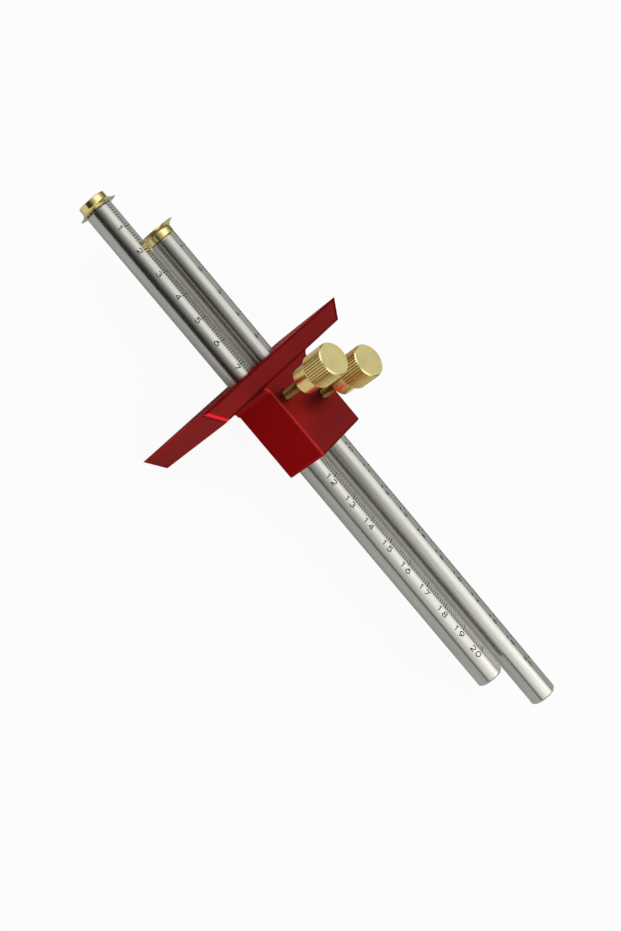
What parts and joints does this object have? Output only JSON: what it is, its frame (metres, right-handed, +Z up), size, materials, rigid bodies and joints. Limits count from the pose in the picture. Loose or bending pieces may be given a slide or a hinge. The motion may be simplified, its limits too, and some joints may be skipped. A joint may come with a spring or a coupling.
{
  "type": "mortise gauge",
  "caption": "Mortise gauge: a red T-shaped fence and block, graduated steel rods with flared cutter wheels that slide through it, and knurled brass thumb screws that clamp them.",
  "frame": {"origin": "middle of the fence's front face, midway between the axes of the rods", "axes": "+Y along the rods towards their plain ends, +Z up along the thumb screws, +X across the rods towards the one with the longer reach"},
  "size_m": [0.091, 0.2351, 0.062],
  "materials": {
    "anodised_red": "satin red anodised",
    "rod_steel": "ground stainless steel with engraved marks",
    "cutter_gold": "polished gold-coloured hard coating with a bare ground rim",
    "screw_steel": "dark oxide",
    "turned_brass": "turned and straight knurled",
    "pad_brass": "turned"
  },
  "bodies": {
    "gauge_body": {"fence_block": "anodised_red"},
    "rod_1": {"marking_rod_1": "rod_steel", "wheel_screw_1": "screw_steel"},
    "rod_2": {"marking_rod_2": "rod_steel", "wheel_screw_2": "screw_steel"},
    "wheel_1": {"cutter_wheel_1": "cutter_gold"},
    "wheel_2": {"cutter_wheel_2": "cutter_gold"},
    "pad_1": {"clamp_pad_1": "pad_brass"},
    "pad_2": {"clamp_pad_2": "pad_brass"},
    "screw_1": {"thumb_screw_1": "turned_brass"},
    "screw_2": {"thumb_screw_2": "turned_brass"}
  },
  "joints": [
    {"name": "rod_1_slide", "type": "slide", "parent": "gauge_body", "child": "rod_1", "axis": [0, -1, 0], "range_m": [-0.074, 0.098]},
    {"name": "rod_2_slide", "type": "slide", "parent": "gauge_body", "child": "rod_2", "axis": [0, -1, 0], "range_m": [-0.053, 0.119]},
    {"name": "wheel_1_turn", "type": "hinge", "parent": "rod_1", "child": "wheel_1", "pos_m": [0.0075, -0.0764, 0], "axis": [0, 1, 0], "continuous": true},
    {"name": "wheel_2_turn", "type": "hinge", "parent": "rod_2", "child": "wheel_2", "pos_m": [-0.0075, -0.0556, 0], "axis": [0, 1, 0], "continuous": true},
    {"name": "pad_1_lift", "type": "slide", "parent": "gauge_body", "child": "pad_1", "axis": [0, 0, 1], "range_m": [-0.00142, 0.00212]},
    {"name": "screw_1_turn", "type": "hinge", "parent": "pad_1", "child": "screw_1", "pos_m": [0.0075, 0.0137, 0.012], "axis": [0, 0, 1], "range_deg": [-720, 1080]},
    {"name": "pad_2_lift", "type": "slide", "parent": "gauge_body", "child": "pad_2", "axis": [0, 0, 1], "range_m": [-0.00002, 0.00352]},
    {"name": "screw_2_turn", "type": "hinge", "parent": "pad_2", "child": "screw_2", "pos_m": [-0.0075, 0.0223, 0.012], "axis": [0, 0, 1], "range_deg": [0, 1800]}
  ],
  "couplings": [
    {"joint": "pad_1_lift", "follows": "screw_1_turn", "m_per_rad": 0.00011141},
    {"joint": "pad_2_lift", "follows": "screw_2_turn", "m_per_rad": 0.00011141}
  ]
}
